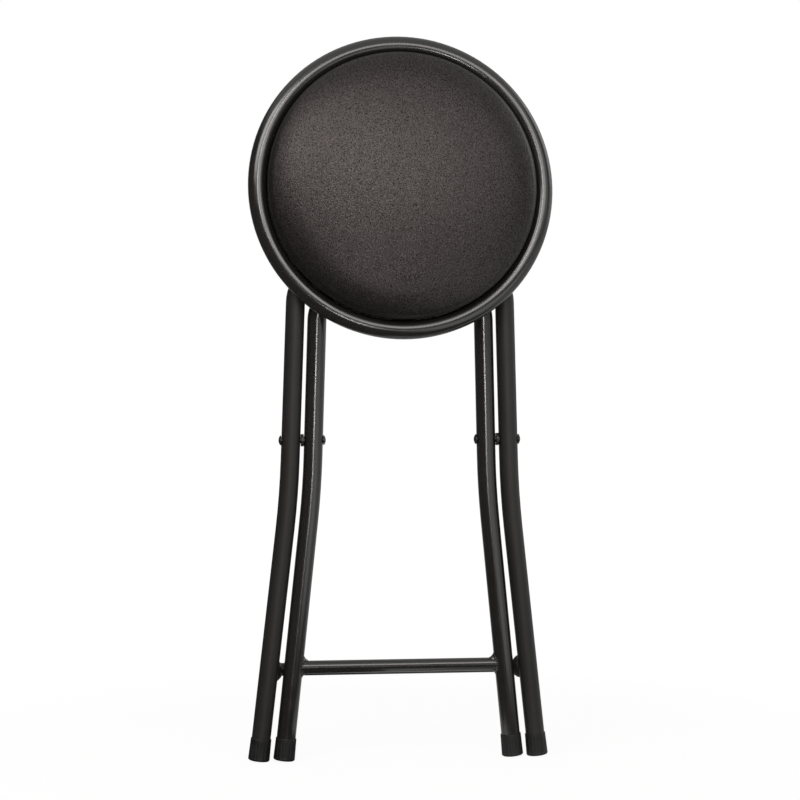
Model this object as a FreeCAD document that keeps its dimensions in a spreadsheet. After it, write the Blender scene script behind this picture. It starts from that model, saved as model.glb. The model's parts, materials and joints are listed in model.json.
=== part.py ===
import FreeCAD, Part

import math
import os

import Sketcher

V = FreeCAD.Vector
ACROSS = V(1, 0, 0)
DEPTH = V(0, 1, 0)
UP = V(0, 0, 1)

RIGHT_ANGLE = 90
HALF_TURN = 180
FULL_TURN = 360

# Two directions or lengths closer than this count as the same.
SAME = 1e-6

# Driving dimensions in millimetres and degrees. The folded stool stands upright as one flat stack:
# X runs across it, Y to the back and Z up. Frame heights are measured from the rivets' axis.
SIZES = {
    # where the rivets sit above the floor
    "rivet_height": 321.6,
    # bent tube of both frames
    "tube_diameter": 19.0,
    "tube_wall": 1.0,
    "splay_bend_radius": 870.0,
    # inner frame
    "inner_half_width": 86.9,
    "inner_top_rise": 151.0,
    "inner_corner_radius": 32.0,
    "inner_lean_angle": 1.55,
    "inner_splay_angle": 5.85,
    "inner_knee_drop": 47.8,
    "inner_bar_drop": 227.5,
    # outer frame, which stands round the inner one
    "leg_gap": 3.6,
    "top_gap": 5.0,
    "corner_growth": 7.0,
    "knee_step": 6.0,
    "outer_lean_angle": 1.86,
    "outer_splay_angle": 6.46,
    "outer_bar_drop": 232.0,
    # crossbars and their welds
    "bar_diameter": 13.0,
    "bar_wall": 1.2,
    "bar_overhang": 6.0,
    "bar_end_rounding": 2.5,
    "bar_end_wall": 2.5,
    "fold_gap": 0.4,
    "weld_fillet": 6.0,
    "bead_half_width": 9.0,
    "bead_half_depth": 7.5,
    "bead_half_height": 11.5,
    "bead_shift": 6.0,
    "bead_back": 2.0,
    # rivets and spacers
    "rivet_diameter": 6.0,
    "rivet_clearance": 0.05,
    "rivet_head_diameter": 10.0,
    "rivet_head_height": 2.4,
    "rivet_head_rim": 0.6,
    "rivet_gap": 0.45,
    "spacer_diameter": 12.5,
    "spacer_gap": 0.5,
    "spacer_edge": 0.4,
    # foot caps
    "cap_length": 22.5,
    "cap_wall": 0.8,
    "cap_flare": 0.5,
    "cap_floor": 4.0,
    "cap_rounding": 1.8,
    "cap_lip": 0.4,
    # seat position on the outer frame
    "seat_lean_angle": 9.8,
    "pivot_inset": 57.0,
    "pivot_clearance": 0.52,
    "clip_inset": 44.0,
    # seat ring and tabs
    "ring_radius": 143.0,
    "ring_tube_diameter": 19.0,
    "ring_wall": 1.0,
    "tab_width": 22.0,
    "tab_thickness": 2.0,
    "tab_screw_inset": 11.0,
    "tab_end": 9.0,
    "tab_corner": 4.0,
    # board, foam and cover
    "cushion_gap": 0.5,
    "board_thickness": 9.0,
    "board_drop": 3.5,
    "board_edge": 1.0,
    "cover_thickness": 1.0,
    "cover_hem_width": 16.0,
    "crown_radius": 450.0,
    "shoulder_radius": 12.0,
    "side_angle": 16.0,
    "side_length": 5.2,
    "waist_height": 2.0,
    # pivot brackets and bushes
    "bracket_width": 20.0,
    "bracket_hem_gap": 1.1,
    "bracket_sheet": 2.0,
    "bracket_foot": 13.0,
    "bracket_bend": 2.0,
    "bracket_corner": 4.0,
    "bush_thickness": 1.8,
    "bush_clearance": 0.08,
    "bush_fit": 0.05,
    "bush_flange": 1.0,
    # catch clips
    "clip_spread": 30.0,
    "clip_width": 22.0,
    "clip_wall": 4.0,
    "clip_clearance": 0.4,
    "clip_arm": 6.0,
    "clip_mouth_angle": 42.0,
    "clip_flange": 3.0,
    "clip_flange_reach": 10.0,
    "clip_web": 14.0,
    "clip_corner": 3.0,
    # screws
    "screw_diameter": 3.8,
    "screw_length": 7.5,
    "screw_clearance": 0.05,
    "screw_head_diameter": 7.6,
    "screw_head_height": 2.2,
    "screw_head_rounding": 1.2,
    "screw_recess_diameter": 3.6,
    "screw_recess_depth": 1.2,
    # how far a cutting tool runs past what it cuts
    "overrun": 5.0,
}

doc = FreeCAD.newDocument("folding_stool")
sheet = doc.addObject("Spreadsheet::Sheet", "Sizes")
for row, (alias, number) in enumerate(SIZES.items(), start=1):
    sheet.set(f"A{row}", alias)
    sheet.set(f"B{row}", str(number))
    sheet.setAlias(f"B{row}", alias)
doc.recompute()


class Size:
    """A value with the expression over the sheet's aliases that gives it."""

    def __init__(self, value, text):
        self.value = value
        self.text = text

    def joined(self, other, sign, value):
        return Size(value, f"({self.text} {sign} {other.text})")

    def __add__(self, other):
        other = as_size(other)
        return self.joined(other, "+", self.value + other.value)

    def __sub__(self, other):
        other = as_size(other)
        return self.joined(other, "-", self.value - other.value)

    def __mul__(self, other):
        other = as_size(other)
        return self.joined(other, "*", self.value * other.value)

    def __truediv__(self, other):
        other = as_size(other)
        return self.joined(other, "/", self.value / other.value)

    def __neg__(self):
        return Size(-self.value, f"(-1 * {self.text})")


def as_size(number):
    return number if isinstance(number, Size) else Size(float(number), repr(float(number)))


def named(alias):
    return Size(float(sheet.get(alias)), f"Sizes.{alias}")


def root(size):
    return Size(math.sqrt(size.value), f"sqrt({size.text})")


def sine(angle):
    return Size(math.sin(math.radians(angle.value)), f"sin({angle.text})")


def cosine(angle):
    return Size(math.cos(math.radians(angle.value)), f"cos({angle.text})")


def tangent(angle):
    return Size(math.tan(math.radians(angle.value)), f"tan({angle.text})")


NOTHING = as_size(0)
NODES = []


def origin_plane(body, role):
    return next(feature for feature in body.Origin.OriginFeatures if feature.Role == role)


def new_body(name):
    body = doc.addObject("PartDesign::Body", name)
    body.Label = name
    return body


def new_sketch(body, name, role, shift=None):
    """A sketch on one of its own body's origin planes, moved along that plane's normal."""
    sketch = body.newObject("Sketcher::SketchObject", name)
    sketch.AttachmentSupport = [(origin_plane(body, role), "")]
    sketch.MapMode = "FlatFace"
    if shift is not None:
        sketch.AttachmentOffset = FreeCAD.Placement(V(0, 0, shift.value), FreeCAD.Rotation())
        sketch.setExpression("AttachmentOffset.Base.z", shift.text)
    return sketch


def drive(sketch, kind, places, size):
    """Adds a constraint whose value follows the sheet."""
    angle = kind == "Angle"
    value = math.radians(size.value) if angle else size.value
    index = sketch.addConstraint(Sketcher.Constraint(kind, *places, value))
    label = f"c{index}"
    sketch.renameConstraint(index, label)
    sketch.setExpression(f"Constraints.{label}", size.text)


def place_point(sketch, geometry, end, x, y):
    """Ties one point of a sketch to a place given by two sizes."""
    for kind, size, axis in (("DistanceX", x, -2), ("DistanceY", y, -1)):
        if size.value == 0:
            sketch.addConstraint(Sketcher.Constraint("PointOnObject", geometry, end, axis))
        else:
            drive(sketch, kind, (-1, 1, geometry, end), size)


def add_circle(sketch, radius, x=NOTHING, y=NOTHING):
    circle = sketch.addGeometry(Part.Circle(V(x.value, y.value, 0), UP, radius.value), False)
    place_point(sketch, circle, 3, x, y)
    drive(sketch, "Radius", (circle,), radius)


def add_outline(sketch, corners):
    """A closed outline of straight sides through corners given as pairs of sizes."""
    points = [V(x.value, y.value, 0) for x, y in corners]
    following = points[1:] + points[:1]
    sides = [sketch.addGeometry(Part.LineSegment(a, b), False) for a, b in zip(points, following)]
    for side, after in zip(sides, sides[1:] + sides[:1]):
        sketch.addConstraint(Sketcher.Constraint("Coincident", side, 2, after, 1))
    for side, (x, y) in zip(sides, corners):
        place_point(sketch, side, 1, x, y)


def turn(start, end, centre):
    """A sketch arc from start to end round the centre, the short way, and the ends' numbers."""
    first = math.atan2(start.y - centre.y, start.x - centre.x)
    last = math.atan2(end.y - centre.y, end.x - centre.x)
    circle = Part.Circle(centre, UP, start.distanceToPoint(centre))
    if (last - first) % math.tau > math.pi:
        return Part.ArcOfCircle(circle, last, first), (2, 1)
    return Part.ArcOfCircle(circle, first, last), (1, 2)


def corner_arc(before, corner, after, radius):
    """Where an arc of the given radius leaves and joins the two lines at a corner, and its centre."""
    back = (before - corner).normalize()
    on = (after - corner).normalize()
    half = back.getAngle(on) / 2
    reach = radius / math.tan(half)
    middle = (back + on).normalize()
    return corner + back * reach, corner + on * reach, corner + middle * (radius / math.sin(half))


def keep(node, placement=None):
    """Marks an object as a sub-part under its own name."""
    node.Label = node.Name
    if placement is not None:
        node.Placement = placement
    NODES.append(node)


def pad(body, sketch, length, middle=False):
    feature = body.newObject("PartDesign::Pad", f"{body.Name}_pad_{sketch.Name}")
    feature.Profile = sketch
    feature.setExpression("Length", length.text)
    feature.SideType = "Symmetric" if middle else "One side"
    body.Tip = feature
    doc.recompute()
    return feature


def revolve(body, sketch, axis="V_Axis"):
    feature = body.newObject("PartDesign::Revolution", f"{body.Name}_turned_{sketch.Name}")
    feature.Profile = sketch
    feature.ReferenceAxis = (sketch, [axis])
    feature.Angle = FULL_TURN
    body.Tip = feature
    doc.recompute()
    return feature


def cut_through(body, sketch, way=0):
    """Pockets a sketch through the body on both sides of its plane, or only up (1) or down (-1)."""
    before = body.Shape.Volume
    feature = body.newObject("PartDesign::Pocket", f"{body.Name}_cut_{sketch.Name}")
    feature.Profile = sketch
    feature.Type = "ThroughAll"
    feature.SideType = "One side" if way else "Symmetric"
    feature.Reversed = way > 0
    body.Tip = feature
    doc.recompute()
    if not body.Shape.Volume < before:
        raise RuntimeError(f"{feature.Name} cut nothing")
    return feature


def mirror(body, feature, role):
    mirrored = body.newObject("PartDesign::Mirrored", f"{body.Name}_mirrored")
    mirrored.Originals = [feature]
    mirrored.MirrorPlane = (origin_plane(body, role), [""])
    body.Tip = mirrored
    doc.recompute()
    return mirrored


def round_edges(body, radius, wanted):
    """Fillets the edges whose middle point passes the test."""
    base = body.Tip
    names = []
    for number, edge in enumerate(base.Shape.Edges, start=1):
        if wanted(edge):
            names.append(f"Edge{number}")
    if not names:
        raise RuntimeError(f"no edges to round on {body.Name}")
    feature = body.newObject("PartDesign::Fillet", f"{body.Name}_round_{len(body.Group)}")
    feature.Base = (base, names)
    feature.setExpression("Radius", radius.text)
    body.Tip = feature
    doc.recompute()
    return feature


def middle_of(edge):
    return edge.valueAt((edge.FirstParameter + edge.LastParameter) / 2)


def runs_along(edge, direction):
    if edge.Curve.TypeId != "Part::GeomLine":
        return False
    return edge.tangentAt(edge.FirstParameter).cross(direction).Length < SAME


tube_radius = named("tube_diameter") / 2
bar_radius = named("bar_diameter") / 2
rivet_radius = named("rivet_diameter") / 2
screw_radius = named("screw_diameter") / 2
screw_hole_radius = screw_radius + named("screw_clearance")
CAP_TOP_RADIUS = tube_radius + named("cap_wall")
CAP_FOOT_RADIUS = CAP_TOP_RADIUS + named("cap_flare")


# Frame of one bent tube


class FrameShape:
    """The half centreline of an inverted U: top bar, corner, upper leg, gentle splay, lower leg."""

    def __init__(self, side, half_width, top_rise, corner_radius, knee_drop):
        self.side = side
        self.half_width = half_width
        self.top_rise = top_rise
        self.corner_radius = corner_radius
        self.knee_drop = knee_drop
        self.lean = named(f"{side}_lean_angle")
        self.splay = named(f"{side}_splay_angle")
        self.bend_radius = named("splay_bend_radius")
        rim = CAP_FOOT_RADIUS - named("cap_rounding")
        lift = rim * sine(self.splay) + named("cap_rounding") * (as_size(1) - cosine(self.splay))
        self.cap_drop = named("rivet_height") - lift
        self.foot_drop = self.cap_drop - named("cap_floor") * cosine(self.splay)

    def across(self, drop):
        """Distance of the lower leg's centreline from the middle plane, at a drop under the rivets."""
        knee = self.half_width + self.knee_drop * tangent(self.lean)
        return knee + (drop - self.knee_drop) * tangent(self.splay)


INNER = FrameShape(
    "inner",
    named("inner_half_width"),
    named("inner_top_rise"),
    named("inner_corner_radius"),
    named("inner_knee_drop"),
)
OUTER = FrameShape(
    "outer",
    INNER.half_width + named("tube_diameter") + named("leg_gap"),
    INNER.top_rise + named("tube_diameter") + named("top_gap"),
    INNER.corner_radius + named("corner_growth"),
    INNER.knee_drop + named("knee_step"),
)


def leg_path(body, frame):
    path = new_sketch(body, f"{frame.side}_centreline", "XZ_Plane")
    lean = math.radians(frame.lean.value)
    top_y = frame.top_rise.value
    top = V(0, top_y, 0)
    shoulder = V(frame.half_width.value - math.tan(lean) * top_y, top_y, 0)
    knee = V(frame.half_width.value + math.tan(lean) * frame.knee_drop.value, -frame.knee_drop.value, 0)
    foot = V(frame.across(frame.foot_drop).value, -frame.foot_drop.value, 0)
    corner_start, corner_end, corner_centre = corner_arc(top, shoulder, knee, frame.corner_radius.value)
    bend_start, bend_end, bend_centre = corner_arc(shoulder, knee, foot, frame.bend_radius.value)
    corner, corner_ends = turn(corner_start, corner_end, corner_centre)
    bend, bend_ends = turn(bend_start, bend_end, bend_centre)
    bar = path.addGeometry(Part.LineSegment(top, corner_start), False)
    corner = path.addGeometry(corner, False)
    upper = path.addGeometry(Part.LineSegment(corner_end, bend_start), False)
    bend = path.addGeometry(bend, False)
    lower = path.addGeometry(Part.LineSegment(bend_end, foot), False)
    joints = (
        (bar, 2, corner, corner_ends[0]),
        (corner, corner_ends[1], upper, 1),
        (upper, 2, bend, bend_ends[0]),
        (bend, bend_ends[1], lower, 1),
    )
    for joint in joints:
        path.addConstraint(Sketcher.Constraint("Tangent", *joint))
    path.addConstraint(Sketcher.Constraint("Horizontal", bar))
    place_point(path, bar, 1, NOTHING, frame.top_rise)
    drive(path, "Radius", (corner,), frame.corner_radius)
    drive(path, "Radius", (bend,), frame.bend_radius)
    rivet = path.addGeometry(Part.Point(V(frame.half_width.value, 0, 0)), True)
    place_point(path, rivet, 1, frame.half_width, NOTHING)
    path.addConstraint(Sketcher.Constraint("PointOnObject", rivet, 1, upper))
    turning = path.addGeometry(Part.Point(knee), True)
    path.addConstraint(Sketcher.Constraint("PointOnObject", turning, 1, upper))
    path.addConstraint(Sketcher.Constraint("PointOnObject", turning, 1, lower))
    drive(path, "DistanceY", (-1, 1, turning, 1), -frame.knee_drop)
    drive(path, "DistanceY", (-1, 1, lower, 2), -frame.foot_drop)
    drive(path, "Angle", (upper,), frame.lean - RIGHT_ANGLE)
    drive(path, "Angle", (lower,), frame.splay - RIGHT_ANGLE)
    return path


def frame_tube(frame):
    body = new_body(f"{frame.side}_frame_tube")
    section = new_sketch(body, f"{frame.side}_section", "YZ_Plane")
    add_circle(section, tube_radius, NOTHING, frame.top_rise)
    add_circle(section, tube_radius - named("tube_wall"), NOTHING, frame.top_rise)
    path = leg_path(body, frame)
    half = body.newObject("PartDesign::AdditivePipe", f"{frame.side}_half_tube")
    half.Profile = section
    half.Spine = (path, [])
    doc.recompute()
    mirror(body, half, "YZ_Plane")
    holes = new_sketch(body, f"{frame.side}_rivet_holes", "YZ_Plane")
    add_circle(holes, rivet_radius + named("rivet_clearance"))
    cut_through(body, holes)
    return body


# Straight tools shaped like a leg, to cut the ends of what is welded to it


def leg_tool(frame, name, side):
    """A solid rod along the lower leg of one side, longer than the weld is high."""
    rod = doc.addObject("Part::Cylinder", name)
    drop = named(f"{frame.side}_bar_drop")
    half = named("bar_diameter") + named("weld_fillet") + named("overrun")
    rod.setExpression("Radius", tube_radius.text)
    rod.setExpression("Height", (half * 2).text)
    splay = math.radians(frame.splay.value)
    down = V(side * math.sin(splay), 0, -math.cos(splay))
    middle = V(side * frame.across(drop).value, 0, -drop.value)
    rod.Placement = FreeCAD.Placement(middle - down * half.value, FreeCAD.Rotation(UP, down))
    return rod


def rod_across(name, radius, length, middle):
    """A rod along X about a middle point."""
    rod = doc.addObject("Part::Cylinder", name)
    rod.setExpression("Radius", radius.text)
    rod.setExpression("Height", length.text)
    start = middle - ACROSS * (length.value / 2)
    rod.Placement = FreeCAD.Placement(start, FreeCAD.Rotation(UP, ACROSS))
    return rod


def cut(name, base, tools):
    """Takes the tools out of the base, one after the other, and ends in an object with the name."""
    for number, tool in enumerate(tools, start=1):
        last = number == len(tools)
        result = doc.addObject("Part::Cut", name if last else f"{name}_less_{number}")
        result.Base = base
        result.Tool = tool
        base = result
    doc.recompute()
    return base


def inner_crossbar():
    drop = INNER_BAR_DROP
    middle = V(0, 0, -drop.value)
    length = INNER.across(drop) * 2
    outside = rod_across("inner_bar_outside", bar_radius, length, middle)
    bore = rod_across("inner_bar_bore", bar_radius - named("bar_wall"), length + named("overrun"), middle)
    legs = [leg_tool(INNER, f"inner_bar_leg_{word}", side) for word, side in SIDES]
    return cut("inner_crossbar", outside, [bore] + legs)


def outer_crossbar():
    """The bar behind the outer legs, with closed and rounded ends."""
    body = new_body("outer_crossbar")
    end = OUTER.across(OUTER_BAR_DROP) + named("bar_overhang")
    bore = bar_radius - named("bar_wall")
    inside = end - named("bar_end_wall")
    profile = new_sketch(body, "outer_bar_profile", "XY_Plane")
    corners = (
        (NOTHING, bore),
        (inside, bore),
        (inside, NOTHING),
        (end, NOTHING),
        (end, bar_radius),
        (NOTHING, bar_radius),
    )
    add_outline(profile, corners)
    half = revolve(body, profile, "H_Axis")
    mirror(body, half, "YZ_Plane")
    far = end.value - SAME
    round_edges(
        body, named("bar_end_rounding"),
        lambda edge: edge.BoundBox.XMin > far or edge.BoundBox.XMax < -far,
    )
    return body


def inner_weld(word, side):
    """The concave bead all round the end of the inner crossbar, on the leg's inner side."""
    leg = leg_tool(INNER, f"inner_weld_leg_{word}", side)
    length = INNER.across(INNER_BAR_DROP)
    middle = V(side * length.value / 2, 0, -INNER_BAR_DROP.value)
    bar = rod_across(f"inner_weld_bar_{word}", bar_radius, length, middle)
    joined = doc.addObject("Part::Fuse", f"inner_joint_{word}")
    joined.Base = leg
    joined.Tool = bar
    doc.recompute()
    radius = named("weld_fillet").value
    plain = ("Part::GeomCircle", "Part::GeomLine")
    edges = enumerate(joined.Shape.Edges, start=1)
    seam = [number for number, edge in edges if edge.Curve.TypeId not in plain]
    filled = doc.addObject("Part::Fillet", f"inner_filled_joint_{word}")
    filled.Base = joined
    filled.Edges = [(number, radius, radius) for number in seam]
    doc.recompute()
    return cut(f"inner_weld_{word}", filled, [leg, bar])


def outer_weld(word, side):
    """The bead round the bar where it passes behind the outer leg, on the leg's inner side."""
    bead = doc.addObject("Part::Ellipsoid", f"outer_weld_bead_{word}")
    bead.setExpression("Radius1", named("bead_half_height").text)
    bead.setExpression("Radius2", named("bead_half_width").text)
    bead.setExpression("Radius3", named("bead_half_depth").text)
    across = OUTER.across(OUTER_BAR_DROP)
    inward = across - named("bead_shift")
    back = tube_radius + named("bead_back")
    bead.Placement.Base = V(side * inward.value, back.value, -OUTER_BAR_DROP.value)
    leg = leg_tool(OUTER, f"outer_weld_leg_{word}", side)
    middle = V(side * across.value, BAR_DEPTH.value, -OUTER_BAR_DROP.value)
    bar = rod_across(f"outer_weld_bar_{word}", bar_radius, OUTER_BAR_DROP, middle)
    return cut(f"outer_weld_{word}", bead, [leg, bar])


def welds(frame, make):
    group = doc.addObject("Part::Compound", f"{frame.side}_welds")
    group.Links = [make(word, side) for word, side in SIDES]
    doc.recompute()
    return group


SIDES = (("left", -1), ("right", 1))
INNER_BAR_DROP = named("inner_bar_drop")
OUTER_BAR_DROP = named("outer_bar_drop")
BAR_DEPTH = tube_radius + bar_radius + named("fold_gap")


# Rivets and spacers


def rivet(word, side):
    """A rivet through the two tubes of one side, with a dome on both ends."""
    body = new_body(f"rivet_{word}")
    inside = INNER.half_width - tube_radius - named("rivet_gap")
    outside = OUTER.half_width + tube_radius + named("rivet_gap")
    head = named("rivet_head_diameter") / 2
    rim = named("rivet_head_rim")
    shank = new_sketch(body, f"rivet_shank_{word}", "XY_Plane")
    corners = (
        (inside, NOTHING),
        (outside, NOTHING),
        (outside, rivet_radius),
        (inside, rivet_radius),
    )
    add_outline(shank, corners)
    revolve(body, shank, "H_Axis")
    for end, face, way in (("outer", outside, 1), ("inner", inside, -1)):
        profile = new_sketch(body, f"rivet_{end}_head_{word}", "XY_Plane")
        dome_profile(profile, face, head, rim, way)
        revolve(body, profile, "H_Axis")
    turned = FreeCAD.Rotation(UP, 0 if side > 0 else HALF_TURN)
    return body, FreeCAD.Placement(V(0, 0, 0), turned)


def dome_profile(profile, face, radius, rim, way):
    """Half of a domed head that stands on a flat face, to be turned about the sketch's X axis."""
    height = named("rivet_head_height")
    lip = face + rim * way
    top = face + height * way
    rise = height.value - rim.value
    bulge = (radius.value ** 2 + rise ** 2) / (2 * rise)
    points = [
        V(face.value, 0, 0),
        V(face.value, radius.value, 0),
        V(lip.value, radius.value, 0),
        V(top.value, 0, 0),
    ]
    centre = V(top.value - way * bulge, 0, 0)
    base = profile.addGeometry(Part.LineSegment(points[0], points[1]), False)
    side = profile.addGeometry(Part.LineSegment(points[1], points[2]), False)
    arc, ends = turn(points[2], points[3], centre)
    arc = profile.addGeometry(arc, False)
    floor = profile.addGeometry(Part.LineSegment(points[3], points[0]), False)
    joints = (
        (base, 2, side, 1),
        (side, 2, arc, ends[0]),
        (arc, ends[1], floor, 1),
        (floor, 2, base, 1),
    )
    for joint in joints:
        profile.addConstraint(Sketcher.Constraint("Coincident", *joint))
    place_point(profile, base, 1, face, NOTHING)
    place_point(profile, side, 1, face, radius)
    place_point(profile, side, 2, lip, radius)
    place_point(profile, floor, 1, top, NOTHING)
    profile.addConstraint(Sketcher.Constraint("PointOnObject", arc, 3, -1))


def spacer(word, side):
    """A plain washer between the outer and the inner tube."""
    body = new_body(f"spacer_{word}")
    start = INNER.half_width + tube_radius + named("spacer_gap")
    end = OUTER.half_width - tube_radius - named("spacer_gap")
    profile = new_sketch(body, f"spacer_section_{word}", "YZ_Plane", start * side)
    add_circle(profile, named("spacer_diameter") / 2)
    add_circle(profile, rivet_radius + named("rivet_clearance"))
    feature = pad(body, profile, end - start)
    feature.Reversed = side < 0
    doc.recompute()
    rim = named("spacer_diameter").value / 2
    round_edges(
        body, named("spacer_edge"),
        lambda edge: abs(edge.BoundBox.ZMax - rim) < SAME and edge.BoundBox.XLength < SAME,
    )
    return body


# Foot caps


def foot_cap(frame, word, side):
    """A rubber cap that flares a little towards the floor, bored for the end of the leg."""
    body = new_body(f"foot_cap_{frame.side}_{word}")
    profile = new_sketch(body, f"cap_profile_{frame.side}_{word}", "XZ_Plane")
    corners = (
        (NOTHING, NOTHING),
        (CAP_FOOT_RADIUS, NOTHING),
        (CAP_TOP_RADIUS, named("cap_length")),
        (tube_radius, named("cap_length")),
        (tube_radius, named("cap_floor")),
        (NOTHING, named("cap_floor")),
    )
    add_outline(profile, corners)
    revolve(body, profile)
    half = named("cap_length").value / 2
    wide = CAP_FOOT_RADIUS.value - SAME
    round_edges(
        body, named("cap_rounding"),
        lambda edge: edge.BoundBox.XMax > wide and edge.BoundBox.ZMax < SAME,
    )
    rim = CAP_TOP_RADIUS.value
    round_edges(
        body, named("cap_lip"),
        lambda edge: edge.BoundBox.ZMin > half and edge.BoundBox.ZLength < SAME
        and abs(edge.BoundBox.XMax - rim) < SAME,
    )
    along = FreeCAD.Rotation(DEPTH, -side * frame.splay.value)
    foot_point = V(side * frame.across(frame.cap_drop).value, 0, -frame.cap_drop.value)
    return body, FreeCAD.Placement(foot_point, along)


# Seat, in its own frame: the ring's centre is the origin, Y runs up the folded seat and Z out of its top

WAIST_RADIUS = named("ring_radius") - named("ring_tube_diameter") / 2 - named("cushion_gap")
BOARD_RADIUS = WAIST_RADIUS - named("cover_thickness")
HEM_RADIUS = BOARD_RADIUS - named("cover_hem_width")
TAB_SCREW_RADIUS = BOARD_RADIUS - named("tab_screw_inset")
BOARD_UNDER = -named("board_drop")
BOARD_TOP = BOARD_UNDER + named("board_thickness")
HEM_UNDER = BOARD_UNDER - named("cover_thickness")
BUSH_RADIUS = tube_radius + named("bush_clearance") + named("bush_thickness")
LOOP_INSIDE = BUSH_RADIUS + named("bush_fit")
LOOP_OUTSIDE = LOOP_INSIDE + named("bracket_sheet")
PIVOT_Y = named("pivot_inset") - BOARD_RADIUS
PIVOT_Z = BOARD_UNDER - BUSH_RADIUS - named("pivot_clearance")
BRACKET_REACH = LOOP_OUTSIDE + named("bracket_foot")
BRACKET_SCREW_Y = LOOP_OUTSIDE + named("bracket_foot") / 2 + named("bracket_bend") / 2
BRACKET_LIMIT = HEM_RADIUS - named("bracket_hem_gap")
BRACKET_FAR_Y = BRACKET_REACH - PIVOT_Y
BRACKET_CORNER_X = root(BRACKET_LIMIT * BRACKET_LIMIT - BRACKET_FAR_Y * BRACKET_FAR_Y)
BRACKET_SPREAD = BRACKET_CORNER_X - named("bracket_width") / 2

# The open legs make a triangle with the board. Its two upper corners are the pivot and the clip.
CLIP_Y = BOARD_RADIUS - named("clip_inset")
OPEN_SINE = (CLIP_Y - PIVOT_Y) / (OUTER.top_rise + INNER.top_rise)
OPEN_COSINE = root(as_size(1) - OPEN_SINE * OPEN_SINE)
CLIP_Z = PIVOT_Z - (OUTER.top_rise - INNER.top_rise) * OPEN_COSINE
CLIP_SCREW_Y = named("clip_web") / 2 + named("clip_flange_reach") / 2


def bracket_screw_places():
    return [(x, PIVOT_Y + BRACKET_SCREW_Y * way)
            for x in (BRACKET_SPREAD * side for _, side in SIDES) for way in (-1, 1)]


def clip_screw_places():
    return [(x, CLIP_Y + CLIP_SCREW_Y * way)
            for x in (named("clip_spread") * side for _, side in SIDES) for way in (-1, 1)]


def tab_screw_places():
    return [(TAB_SCREW_RADIUS * x_way, TAB_SCREW_RADIUS * y_way) for x_way, y_way in QUARTERS]


QUARTERS = ((1, 0), (0, 1), (-1, 0), (0, -1))


def seat_ring():
    body = new_body("seat_ring")
    section = new_sketch(body, "ring_section", "XZ_Plane")
    outside = named("ring_tube_diameter") / 2
    add_circle(section, outside, named("ring_radius"), NOTHING)
    add_circle(section, outside - named("ring_wall"), named("ring_radius"), NOTHING)
    revolve(body, section)
    return body


def ring_tabs():
    """Four flat tabs from the ring's tube to under the board."""
    ring = doc.addObject("Part::Torus", "tab_ring_tool")
    ring.setExpression("Radius1", named("ring_radius").text)
    ring.setExpression("Radius2", (named("ring_tube_diameter") / 2).text)
    tabs = []
    for number in range(1, len(QUARTERS) + 1):
        body = new_body(f"ring_tab_blank_{number}")
        outline = new_sketch(body, f"tab_outline_{number}", "XY_Plane", HEM_UNDER)
        half = named("tab_width") / 2
        inner = TAB_SCREW_RADIUS - named("tab_end")
        outer = named("ring_radius")
        add_outline(outline, ((inner, -half), (outer, -half), (outer, half), (inner, half)))
        feature = pad(body, outline, named("tab_thickness"))
        feature.Reversed = True
        doc.recompute()
        limit = inner.value + SAME
        round_edges(
            body, named("tab_corner"),
            lambda edge: runs_along(edge, UP) and middle_of(edge).x < limit,
        )
        hole = new_sketch(body, f"tab_hole_{number}", "XY_Plane")
        add_circle(hole, screw_hole_radius, TAB_SCREW_RADIUS, NOTHING)
        cut_through(body, hole)
        body.Placement.Rotation = FreeCAD.Rotation(UP, RIGHT_ANGLE * (number - 1))
        tabs.append(cut(f"ring_tab_{number}", body, [ring]))
    return tabs


def seat_board():
    body = new_body("seat_board")
    disc = new_sketch(body, "board_outline", "XY_Plane", BOARD_UNDER)
    add_circle(disc, BOARD_RADIUS)
    pad(body, disc, named("board_thickness"))
    round_edges(body, named("board_edge"), lambda edge: edge.BoundBox.ZLength < SAME)
    holes = new_sketch(body, "board_holes", "XY_Plane")
    for x, y in bracket_screw_places() + clip_screw_places() + tab_screw_places():
        add_circle(holes, screw_hole_radius, x, y)
    cut_through(body, holes)
    return body


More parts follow.
